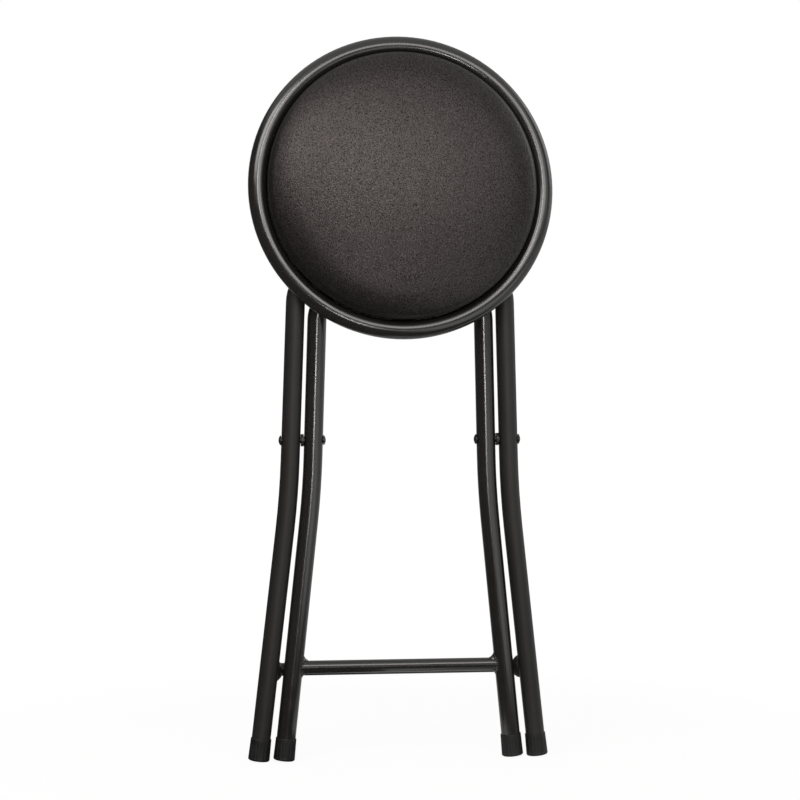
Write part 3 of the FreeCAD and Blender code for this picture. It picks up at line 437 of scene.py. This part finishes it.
def cushion_side():
    """The outside from the hem's inner edge to the top's middle: side, shoulder, fall and crown."""
    slant = (math.sin(SIDE_ANGLE), math.cos(SIDE_ANGLE))
    shoulder_x = WAIST + slant[0] * SIDE_LENGTH - slant[1] * SHOULDER_RADIUS
    shoulder_z = WAIST_HEIGHT + slant[1] * SIDE_LENGTH + slant[0] * SHOULDER_RADIUS
    crown_tilt = math.asin(FALL_START / CROWN_RADIUS)
    fall_x = FALL_START - FALL_RADIUS * math.sin(crown_tilt)
    fall_tilt = math.asin((shoulder_x - fall_x) / (FALL_RADIUS - SHOULDER_RADIUS))
    fall_z = shoulder_z - (FALL_RADIUS - SHOULDER_RADIUS) * math.cos(fall_tilt)
    crown_z = fall_z - (CROWN_RADIUS - FALL_RADIUS) * math.cos(crown_tilt)
    shoulder_end = UPRIGHT - fall_tilt
    fall_end = UPRIGHT - crown_tilt
    shoulder = arc((shoulder_x, shoulder_z), SHOULDER_RADIUS, -SIDE_ANGLE, shoulder_end, 12)
    fall = arc((fall_x, fall_z), FALL_RADIUS, shoulder_end, fall_end, 10)
    crown = arc((0, crown_z), CROWN_RADIUS, fall_end, UPRIGHT, 40)
    corner = (WAIST - HEM_ROUNDING, HEM_UNDER + HEM_ROUNDING)
    points = line((HEM_RADIUS, BOARD_UNDER + 0.1 * MM), (HEM_RADIUS, HEM_UNDER), 2)
    points += line((HEM_RADIUS, HEM_UNDER), (corner[0], HEM_UNDER), 8)
    points += arc(corner, HEM_ROUNDING, -UPRIGHT, 0, 4)[:-1]
    points += line((WAIST, corner[1]), (WAIST, WAIST_HEIGHT), 3)
    points += line((WAIST, WAIST_HEIGHT), shoulder[0], 5)
    return points + shoulder[:-1] + fall[:-1] + crown


def hem_pleat(angle, row):
    """Small gathers of the hem under the board, fading towards its outer edge."""
    if not 0 <= row < PLEAT_ROWS:
        return (0.0, 0.0)
    wave = noise.noise(Vector((math.cos(angle) * PLEATS, math.sin(angle) * PLEATS, 3.1)))
    fine = noise.noise(Vector((math.cos(angle) * WRINKLES, math.sin(angle) * WRINKLES, 8.7)))
    inner = 1.0 - row / PLEAT_ROWS
    lift = -PLEAT_HEIGHT * inner * max(0.0, wave) - WRINKLE_HEIGHT * fine
    return (PLEAT_SWAY * wave * inner if row < PLEAT_EDGE_ROWS else 0.0, lift)


def blown_up(obj):
    """Lets cloth under air pressure pull the cover taut, and returns how far each point moved."""
    group = obj.vertex_groups.new(name="pinned")
    held = [vertex.index for vertex in obj.data.vertices if vertex.co.z < PINNED_BELOW]
    group.add(held, 1.0, "REPLACE")
    cloth = obj.modifiers.new("cloth", "CLOTH")
    settings = cloth.settings
    settings.quality = 6
    settings.mass = 0.3
    settings.tension_stiffness = 20
    settings.compression_stiffness = 20
    settings.shear_stiffness = 8
    settings.bending_stiffness = 1.5
    settings.use_pressure = True
    settings.uniform_pressure_force = CLOTH_PRESSURE
    settings.vertex_group_mass = group.name
    settings.effector_weights.gravity = 0
    cloth.point_cache.frame_start = 1
    cloth.point_cache.frame_end = CLOTH_FRAMES
    scene = bpy.context.scene
    for number in range(1, CLOTH_FRAMES + 1):
        scene.frame_set(number)
    shown = obj.evaluated_get(bpy.context.evaluated_depsgraph_get())
    moved = []
    for before, after in zip(obj.data.vertices, shown.data.vertices):
        step = after.co - before.co
        if step.length > CLOTH_REACH:
            step *= CLOTH_REACH / step.length
        moved.append(step)
    obj.modifiers.remove(cloth)
    obj.vertex_groups.clear()
    scene.frame_set(1)
    return moved


def settle(obj):
    """Lets the middle down as a used seat's, and keeps a part of the cloth's sideways pull."""
    for vertex in obj.data.vertices:
        share = 1.0 - (math.hypot(vertex.co.x, vertex.co.y) / FALL_START) ** 2
        if vertex.co.z > SAG_ABOVE and share > 0:
            vertex.co.z -= SAG * share * share
    for vertex, step in zip(obj.data.vertices, blown_up(obj)):
        vertex.co += Vector((step.x, step.y, 0)) * CLOTH_SHARE


def cushion():
    """Foam and cover as one closed padded form over the board, crowned and with a waist."""
    outside = cushion_side()
    inside = [(radius, BOARD_TOP) for radius in (0.0, BOARD_RADIUS * 0.6, BOARD_RADIUS)]
    inside.append((BOARD_RADIUS, BOARD_UNDER))
    profile = inside + outside[:-1] + [(0.0, outside[-1][1])]
    first_hem_row = len(inside) - 1
    obj = lathe(
        "seat_cushion", profile, CUSHION_STEPS,
        offset=lambda angle, index: hem_pleat(angle, index - first_hem_row),
    )
    settle(obj)
    for vertex in obj.data.vertices:
        if vertex.co.z > UNEVEN_ABOVE:
            wave = noise.noise(vertex.co * UNEVEN_WAVES + Vector((4.2, 1.3, 0.0)))
            vertex.co.z += UNEVENNESS * wave
    obj.data.transform(SEAT)
    smooth = obj.modifiers.new("smooth", "SUBSURF")
    smooth.levels = smooth.render_levels = 1
    apply_modifiers(obj)
    dress(obj, VINYL)
    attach(obj, "seat")
    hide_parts("seat_cover", "seat_foam")


# Foot caps: their heights are over the sole

CAP_LENGTH = 22.5 * MM
CAP_TOP = 10.3 * MM
CAP_FOOT = 10.8 * MM
CAP_FLOOR = 4.0 * MM
CAP_ROUNDING = 1.8 * MM
CAP_LIP = 0.7 * MM
CAP_BORE = 9.53 * MM
CAP_ROWS = 30
CAP_STEPS = 192
SOLE_ROWS = (3.0, 3.2, 3.4, 5.6, 5.8, 6.0, 8.0)
SOLE_GROOVES = (3.2, 5.8)
GROOVE_DEPTH = 0.35 * MM
RIBS = 16
RIB_DEPTH = 0.38 * MM
RIBS_OUTSIDE = 9.8 * MM
RIBS_FROM = 2.4 * MM
RIBS_TO = 18.5 * MM
RIB_FOOT = 1.2 * MM
RIB_HEAD = 1.6 * MM
LEG_SPLAY = {"outer": math.radians(6.46), "inner": math.radians(5.85)}


def cap_profile():
    """Outline from the sole's middle, round the outside and down the bore."""
    points = [(0.0, 0.0)] + [(radius * MM, 0.0) for radius in SOLE_ROWS]
    corner = (CAP_FOOT - CAP_ROUNDING, CAP_ROUNDING)
    points += arc(corner, CAP_ROUNDING, -UPRIGHT, 0, 7)
    for row in range(1, CAP_ROWS + 1):
        height = CAP_ROUNDING + (CAP_LENGTH - CAP_LIP - CAP_ROUNDING) * row / CAP_ROWS
        points.append((CAP_FOOT + (CAP_TOP - CAP_FOOT) * height / CAP_LENGTH, height))
    points += arc((CAP_TOP - CAP_LIP, CAP_LENGTH - CAP_LIP), CAP_LIP, 0.3, UPRIGHT, 5)
    inside = (CAP_LENGTH - 0.15 * MM, CAP_LENGTH - 1.0 * MM, CAP_FLOOR)
    return points + [(CAP_BORE, height) for height in inside] + [(0.0, CAP_FLOOR)]


def cap_relief(profile):
    """Shallow flutes down the side, and two rings pressed into the sole."""
    def offset(angle, index):
        radius, height = profile[index + 1]
        if radius > RIBS_OUTSIDE and RIBS_FROM < height < RIBS_TO:
            ends = min(1.0, (height - RIBS_FROM) / RIB_FOOT, (RIBS_TO - height) / RIB_HEAD)
            flute = max(0.0, math.cos(angle * RIBS)) ** 0.6
            return (-RIB_DEPTH * flute * math.sqrt(max(0.0, ends)), 0.0)
        if height == 0.0 and round(radius / MM, 1) in SOLE_GROOVES:
            return (0.0, GROOVE_DEPTH)
        return (0.0, 0.0)
    return offset


def foot_caps():
    profile = cap_profile()
    relief = cap_relief(profile)
    flat = CAP_FOOT - CAP_ROUNDING
    for which, splay in LEG_SPLAY.items():
        # From the box of the tilted cap to its sole's middle
        lift = flat * math.sin(splay) + CAP_ROUNDING * (1 - math.cos(splay))
        reach = flat * math.cos(splay) + CAP_ROUNDING * (1 - math.sin(splay))
        for word, side in SIDES:
            node = f"foot_cap_{which}_{word}"
            low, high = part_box(node)
            outer_x = high.x if side > 0 else low.x
            place = Vector((outer_x - side * reach, (low.y + high.y) / 2, lift))
            matrix = Matrix.Translation(place) @ Matrix.Rotation(-side * splay, 4, "Y")
            cap = lathe(f"ribbed_{node}", profile, CAP_STEPS, matrix, relief)
            dress(cap, RUBBER)
            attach(cap, f"{which}_frame")
            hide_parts(node)


# Welds

WELD_VOXEL = 0.5 * MM
RIPPLE_HEIGHT = 0.16 * MM
RIPPLES_ROUND = 11
RIPPLES_ALONG = 40
WELD_ROUGHNESS = 0.18 * MM
WELD_GRAIN = 420


def weld_beads():
    """The weld metal of both crossbars, as rippled beads in place of the plain fillets."""
    for node, body, coat in (
        ("outer_welds", "outer_frame", SATIN_COAT),
        ("inner_welds", "inner_frame", GLOSSY_COAT),
    ):
        low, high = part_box(node)
        middle = (low + high) / 2
        bead = link(f"bead_{node}", NODES[node].data.copy())
        remesh = bead.modifiers.new("remesh", "REMESH")
        remesh.mode = "VOXEL"
        remesh.voxel_size = WELD_VOXEL
        smooth = bead.modifiers.new("smooth", "SMOOTH")
        smooth.factor = 0.5
        smooth.iterations = 4
        apply_modifiers(bead)
        normals = [vertex.normal.copy() for vertex in bead.data.vertices]
        for vertex, normal in zip(bead.data.vertices, normals):
            away = vertex.co - middle
            turn = math.atan2(away.z, away.y)
            wave = abs(math.sin(turn * RIPPLES_ROUND + abs(away.x) * RIPPLES_ALONG))
            rough = noise.noise(vertex.co * WELD_GRAIN)
            vertex.co += normal * (RIPPLE_HEIGHT * wave + WELD_ROUGHNESS * rough)
        dress(bead, coat)
        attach(bead, body)
        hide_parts(node)


# Screws and staples: their places are in the seat's frame

SCREW_HEAD_RADIUS = 3.8 * MM
SCREW_HEAD_HEIGHT = 2.2 * MM
SCREW_RADIUS = 1.9 * MM
SCREW_LENGTH = 7.5 * MM
SCREW_ROUNDING = 1.2 * MM
RECESS_HALF = Vector((2.15, 0.42, 0.0)) * MM
RECESS_DEPTH = 1.25 * MM
RECESS_TAPER = 0.45
RECESS_MARGIN = 0.3 * MM
BRACKET_X = 43.98 * MM
BRACKET_SCREW_Y = 20.93 * MM
BRACKET_FACE = -5.5 * MM
CLIP_X = 30.0 * MM
CLIP_Y = 88.0 * MM
CLIP_SCREW_Y = 12.0 * MM
CLIP_FACE = -6.5 * MM
TAB_SCREW_RADIUS = 121.0 * MM
TAB_FACE = -6.5 * MM
SCREW_CREASE = 35
STAPLES = 20
STAPLE_RADIUS = 124.5 * MM
STAPLE_HALF = 5.0 * MM
STAPLE_BEND = 0.35 * MM
STAPLE_TILT = 0.16
STAPLE_STRAY = 1.2 * MM
STAPLE_CREASE = 50
WIRE_WIDE = 0.52 * MM
WIRE_HIGH = 0.32 * MM
WIRE_STEPS = 8


def recess_wedge(turn, top, floor):
    """One arm of the cross that is cut out of a screw's head, narrower at its floor."""
    corners = []
    for size, height in ((RECESS_HALF, top), (RECESS_HALF * RECESS_TAPER, floor)):
        square = ((-1, -1), (1, -1), (1, 1), (-1, 1))
        corners += [(x * size.x, y * size.y, height) for x, y in square]
    faces = [(0, 1, 2, 3), (7, 6, 5, 4), (0, 4, 5, 1), (1, 5, 6, 2), (2, 6, 7, 3), (3, 7, 4, 0)]
    wedge = mesh_object("wedge", corners, faces, Matrix.Rotation(turn, 4, "Z"), smooth=False)
    face_outward(wedge.data)
    return wedge


def cross_screw(name, place, turn):
    """A pan-head screw with a cross recess, whose head lies below the place given."""
    low = -SCREW_HEAD_HEIGHT
    flat = SCREW_HEAD_RADIUS - SCREW_ROUNDING
    points = [(0.0, low)] + line((0.8 * MM, low), (flat, low), 3)
    points += arc((flat, low + SCREW_ROUNDING), SCREW_ROUNDING, -UPRIGHT, 0, 7)
    points += [(SCREW_HEAD_RADIUS, -0.15 * MM), (SCREW_HEAD_RADIUS - 0.1 * MM, 0.0)]
    points += [(SCREW_RADIUS, 0.0), (SCREW_RADIUS, SCREW_LENGTH), (0.0, SCREW_LENGTH)]
    screw = lathe(name, points, 40)
    for quarter in (0, 1):
        wedge = recess_wedge(quarter * UPRIGHT, low - RECESS_MARGIN, low + RECESS_DEPTH)
        cut = screw.modifiers.new("recess", "BOOLEAN")
        cut.operation = "DIFFERENCE"
        cut.solver = "EXACT"
        cut.object = wedge
        apply_modifiers(screw)
        bpy.data.objects.remove(wedge)
    screw.data.transform(SEAT @ Matrix.Translation(place) @ Matrix.Rotation(turn, 4, "Z"))
    return screw


def screw_pairs(x, y, spread, face):
    """Places of two screws, one above the other, on each side."""
    return [Vector((side * x, y + way * spread, face)) for _, side in SIDES for way in (-1, 1)]


def screws():
    around = ((1, 0), (0, 1), (-1, 0), (0, -1))
    tabs = [Vector((x * TAB_SCREW_RADIUS, y * TAB_SCREW_RADIUS, TAB_FACE)) for x, y in around]
    groups = (
        ("bracket_screws", screw_pairs(BRACKET_X, -SEAT_TRAVEL, BRACKET_SCREW_Y, BRACKET_FACE)),
        ("clip_screws", screw_pairs(CLIP_X, CLIP_Y, CLIP_SCREW_Y, CLIP_FACE)),
        ("tab_screws", tabs),
    )
    for node, places in groups:
        made = [
            # each screw is left at another angle, as a driver leaves it
            cross_screw(f"{node}_{number}", place, 0.7 * number + len(node) * 0.31)
            for number, place in enumerate(places, start=1)
        ]
        group = joined(f"cross_{node}", made)
        shade_by_angle(group, SCREW_CREASE)
        dress(group, ZINC)
        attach(group, "seat")
        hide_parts(node)


def staple(number, path):
    """One flattened wire along the path, with its legs in the board."""
    angle = math.tau * (number + 0.5) / STAPLES
    tilt = STAPLE_TILT * noise.noise(Vector((number * 1.7, 2.2, 0.4)))
    radius = STAPLE_RADIUS + STAPLE_STRAY * noise.noise(Vector((0.3, number * 2.3, 5.0)))
    side = Vector((0, 1, 0))
    points = []
    for index, (x, z) in enumerate(path):
        before = path[max(0, index - 1)]
        after = path[min(len(path) - 1, index + 1)]
        run = Vector((after[0] - before[0], 0, after[1] - before[1])).normalized()
        lift = run.cross(side)
        for step in range(WIRE_STEPS):
            around = math.tau * step / WIRE_STEPS
            wide, high = math.cos(around) * WIRE_WIDE, math.sin(around) * WIRE_HIGH
            points.append(Vector((x, 0, z)) + side * wide + lift * high)
    end = len(points) - WIRE_STEPS
    faces = []
    for low in range(0, end, WIRE_STEPS):
        faces += [quad(low, low + WIRE_STEPS, step, WIRE_STEPS) for step in range(WIRE_STEPS)]
    faces.append(tuple(range(WIRE_STEPS - 1, -1, -1)))
    faces.append(tuple(range(end, len(points))))
    place = Matrix.Translation((radius, 0, HEM_UNDER - 0.1 * MM))
    place = Matrix.Rotation(angle, 4, "Z") @ place @ Matrix.Rotation(UPRIGHT + tilt, 4, "Z")
    return mesh_object(f"staple_{number}", points, faces, SEAT @ place)


def staples():
    """Wire staples that hold the hem under the board."""
    bend = STAPLE_HALF - STAPLE_BEND
    leg, shoulder, crown = 1.2 * MM, 0.1 * MM, -0.3 * MM
    path = [(-STAPLE_HALF, leg), (-STAPLE_HALF, shoulder), (-bend, crown)]
    path += [(bend, crown), (STAPLE_HALF, shoulder), (STAPLE_HALF, leg)]
    group = joined("hem_staples", [staple(number, path) for number in range(STAPLES)])
    face_outward(group.data)
    shade_by_angle(group, STAPLE_CREASE)
    dress(group, ZINC)
    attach(group, "seat")


# Light and floor: angles in degrees, turned from the front towards the right

MIDDLE = Vector((0, 0, 0.42))
LAMP_DISTANCE = 3.2
LAMP_TINT = (1.0, 0.965, 0.94)
LAMPS = (  # from, to, low, high and strength
    ("strip_low", -7, 0, -6, -1, 24.0),
    ("strip_high", -12, -2, 18, 36, 9.8),
    ("left", -54, -20, 24, 46, 5.4),
    ("front", 0, 26, 18, 38, 3.7),
)
# Strengths that shiny faces see round the object
SURROUND = (  # from, to, strength at the horizon and halfway up
    (-150, -20, 0.07, 0.07),
    (-20, 20, 0.15, 0.18),
    (20, 52, 0.3, 1.0),
    (52, 84, 0.36, 0.18),
    (84, 130, 0.9, 1.6),
)
BEHIND = 0.42
OVERHEAD = 0.6
GROUND = ((-150, -4, 0.07), (-4, 52, 1.08), (52, 130, 0.54))  # from, to and strength
GROUND_BEHIND = 0.54
GROUND_NEAR = 0.05
HALFWAY = 11
HIGH = 38
SOFT = 3
MATT_LIGHT = 0.42
FLOOR_RADIUS = 9.0
FLOOR_DEPTH = 2.0 * MM
FLOOR_COLOUR = (0.84, 0.84, 0.84, 1)
FLOOR_GLOW = 1.03
SHADOW_REACH = (0.3, 0.9)
SHADOW_WHITE = 0.9
DARK_END = (1.6, 0.9)
DARK_TURN = (5, 25)
DARK_LIMIT = (0.55, 1.9)
DARK_FRONT = -0.15
WHITE = (1, 1, 1, 1)


def add_light(name, left, right, low, high, strength):
    """A flat lamp that fills these angles as the object sees them."""
    turn, rise = math.radians((left + right) / 2), math.radians((low + high) / 2)
    level = math.cos(rise)
    place = Vector((math.sin(turn) * level, -math.cos(turn) * level, math.sin(rise)))
    data = bpy.data.lights.new(name, "AREA")
    data.shape = "RECTANGLE"
    data.size = 2 * LAMP_DISTANCE * math.tan(math.radians(right - left) / 2) * level
    data.size_y = 2 * LAMP_DISTANCE * math.tan(math.radians(high - low) / 2)
    data.energy = strength * math.pi * data.size * data.size_y
    data.color = LAMP_TINT
    light = link(name, data)
    light.location = MIDDLE + place * LAMP_DISTANCE
    light.rotation_euler = (-place).to_track_quat("-Z", "Y").to_euler()


class Shading:
    """Short calls for the nodes of the world and of the floor."""

    def __init__(self, tree, coordinates):
        self.tree = tree
        tree.nodes.clear()
        self.path = tree.nodes.new("ShaderNodeLightPath").outputs
        self.place = tree.nodes.new("ShaderNodeTexCoord").outputs[coordinates]
        self.axes = tree.nodes.new("ShaderNodeSeparateXYZ").outputs
        tree.links.new(self.place, self.axes[0].node.inputs[0])

    def add(self, kind, *links, output=0, **settings):
        node = self.tree.nodes.new(kind)
        for key, value in settings.items():
            setattr(node, key, value)
        for index, source in enumerate(links):
            if isinstance(source, bpy.types.NodeSocket):
                self.tree.links.new(source, node.inputs[index])
            else:
                node.inputs[index].default_value = source
        return node.outputs[output]

    def maths(self, operation, first, second=0.0):
        return self.add("ShaderNodeMath", first, second, operation=operation)

    def step(self, value, low, high):
        """Goes smoothly from 0 at low to 1 at high."""
        links = (value, low, high, 0.0, 1.0)
        return self.add("ShaderNodeMapRange", *links, interpolation_type="SMOOTHSTEP")

    def blend(self, factor, first, second):
        """The first number where the factor is 0, the second where it is 1."""
        return self.add("ShaderNodeMapRange", factor, 0.0, 1.0, first, second)

    def turn(self):
        """The angle from the front towards the right."""
        front = self.maths("MULTIPLY", self.axes[1], -1.0)
        return self.maths("MULTIPLY", self.maths("ARCTAN2", self.axes[0], front), math.degrees(1))

    def round_about(self, column, table, behind):
        """One column of a table of strengths by angle, and one strength for the rest."""
        turn = self.turn()
        total = behind
        for row in table:
            rising = self.step(turn, row[0] - SOFT, row[0] + SOFT)
            falling = self.step(turn, row[1] + SOFT, row[1] - SOFT)
            inside = self.maths("MULTIPLY", rising, falling)
            share = self.maths("MULTIPLY", inside, row[column] - behind)
            total = self.maths("ADD", total, share)
        return total

    def finish(self, shader, output):
        self.tree.links.new(shader, self.tree.nodes.new(output).inputs[0])


def add_world():
    """White behind the object. What shiny faces see is dim to the left and bright to the right."""
    world = bpy.data.worlds.new("studio")
    bpy.context.scene.world = world
    world.use_nodes = True
    shading = Shading(world.node_tree, "Generated")
    rise = shading.maths("MULTIPLY", shading.maths("ARCSINE", shading.axes[2]), math.degrees(1))
    low = shading.round_about(2, SURROUND, BEHIND)
    halfway = shading.round_about(3, SURROUND, BEHIND)
    mirrored = shading.blend(shading.step(rise, HALFWAY - SOFT, HALFWAY + SOFT), low, halfway)
    mirrored = shading.blend(shading.step(rise, HIGH - SOFT, HIGH + SOFT), mirrored, OVERHEAD)
    path = shading.path
    seen = shading.maths("MAXIMUM", path["Is Camera Ray"], path["Is Transmission Ray"])
    strength = shading.blend(path["Is Glossy Ray"], MATT_LIGHT, mirrored)
    strength = shading.blend(seen, strength, 1.0)
    background = shading.add("ShaderNodeBackground", WHITE, strength)
    shading.finish(background, "ShaderNodeOutputWorld")


def add_floor():
    """White as it is seen, and farther off wholly white, with the object's soft shadow kept.

    Shiny faces see a dark floor in front of the object, and a bright one farther off.
    """
    outline = [
        (0.0, -FLOOR_DEPTH), (FLOOR_RADIUS, -FLOOR_DEPTH), (FLOOR_RADIUS, 0.0), (0.0, 0.0),
    ]
    floor = lathe("floor", outline, 96)
    material = bpy.data.materials.new("floor")
    material.use_nodes = True
    shading = Shading(material.node_tree, "Object")
    reach = shading.add("ShaderNodeVectorMath", shading.place, output="Value", operation="LENGTH")
    far = shading.round_about(2, GROUND, GROUND_BEHIND)
    before = shading.step(shading.axes[1], 0.0, DARK_FRONT)
    # The dark floor ends nearer to the object on the right
    limit = shading.blend(shading.step(shading.turn(), *DARK_TURN), *DARK_LIMIT)
    near = shading.step(shading.maths("MULTIPLY", reach, limit), *DARK_END)
    near = shading.maths("MULTIPLY", before, near)
    mirrored = shading.blend(near, far, GROUND_NEAR)
    path = shading.path
    strength = shading.blend(path["Is Glossy Ray"], FLOOR_GLOW, mirrored)
    glow = shading.add("ShaderNodeEmission", WHITE, strength)
    matt = shading.add("ShaderNodeBsdfDiffuse", FLOOR_COLOUR)
    white = shading.blend(shading.step(reach, *SHADOW_REACH), SHADOW_WHITE, 1.0)
    share = shading.maths("MULTIPLY", white, path["Is Camera Ray"])
    share = shading.maths("MAXIMUM", share, path["Is Glossy Ray"])
    mix = shading.add("ShaderNodeMixShader", share, matt, glow)
    shading.finish(mix, "ShaderNodeOutputMaterial")
    dress(floor, material)


def add_stage():
    bpy.context.scene.view_settings.view_transform = "Standard"
    add_world()
    add_floor()
    for lamp in LAMPS:
        add_light(*lamp)


# The whole scene

GLOSSY_COAT = frame_paint("glossy_black_coat", 0.19, 0.84)
SATIN_COAT = frame_paint("satin_black_coat", 0.5, 0.48)
VINYL = vinyl()
RUBBER = rubber()
PLASTIC = moulded_plastic()
WOOD = board_wood()
ZINC = zinc()
BLACKENED = blackened()
BY_SLOT = {
    "frame_paint": GLOSSY_COAT,
    "rivet_black": BLACKENED,
    "foot_rubber": RUBBER,
    "vinyl": VINYL,
    "pad_foam": VINYL,
    "board_wood": WOOD,
    "clip_plastic": PLASTIC,
    "screw_steel": ZINC,
}
for entry in frame["record"]["subparts"]:
    dress(NODES[entry["node"]], BY_SLOT[entry["material_slot"]])
for node in ("outer_frame_tube", "outer_crossbar"):
    dress(NODES[node], SATIN_COAT)

add_camera()
add_stage()
cushion()
foot_caps()
weld_beads()
screws()
staples()
